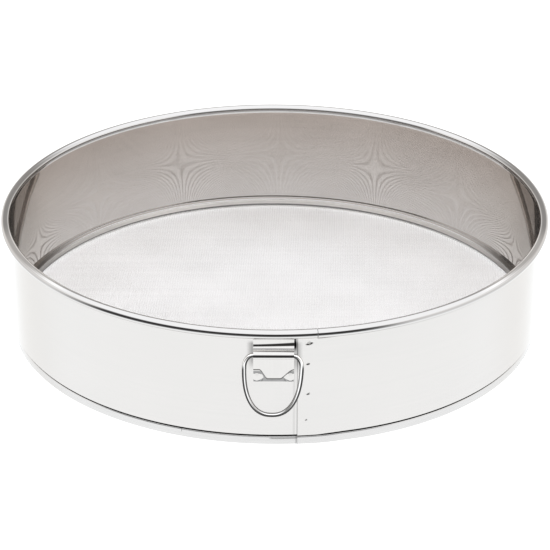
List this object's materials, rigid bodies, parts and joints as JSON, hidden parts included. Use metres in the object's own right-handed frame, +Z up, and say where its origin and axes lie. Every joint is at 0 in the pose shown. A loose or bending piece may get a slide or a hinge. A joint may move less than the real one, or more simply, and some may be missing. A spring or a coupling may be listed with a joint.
{
  "type": "soil sieve",
  "caption": "Round stainless steel sieve: rolled drum with beaded rim and lap seam, woven wire screen clamped at the base, and a hanging wire ring held in a folded strap.",
  "frame": {"origin": "on the drum's axis, in the plane the bottom hoop stands on", "axes": "+Z up along the drum's axis, the hanging ring is on the -Y side, +X to the right seen from the ring"},
  "size_m": [0.3, 0.3, 0.0664],
  "materials": {
    "drum_wall": "bright rolled",
    "rim_wire": "drawn wire",
    "screen": "woven wire",
    "hoop_long": "bright rolled",
    "hoop_short": "bright rolled",
    "ring_strap": "polished",
    "d_ring": "polished",
    "lap_weld_1": "spot welded",
    "lap_weld_2": "spot welded",
    "lap_weld_3": "spot welded",
    "lap_weld_4": "spot welded",
    "strap_weld_1": "spot welded",
    "strap_weld_2": "spot welded"
  },
  "bodies": {
    "drum": {"drum_wall": "drum_wall", "rim_wire": "rim_wire", "screen": "screen", "hoop_long": "hoop_long", "hoop_short": "hoop_short", "ring_strap": "ring_strap", "lap_weld_1": "lap_weld_1", "lap_weld_2": "lap_weld_2", "lap_weld_3": "lap_weld_3", "lap_weld_4": "lap_weld_4", "strap_weld_1": "strap_weld_1", "strap_weld_2": "strap_weld_2"},
    "ring": {"d_ring": "d_ring"}
  },
  "joints": [
    {"name": "ring_swing", "type": "hinge", "parent": "drum", "child": "ring", "pos_m": [-0.0003, -0.1481, 0.05245], "axis": [-1, 0, 0], "range_deg": [0, 165]}
  ]
}
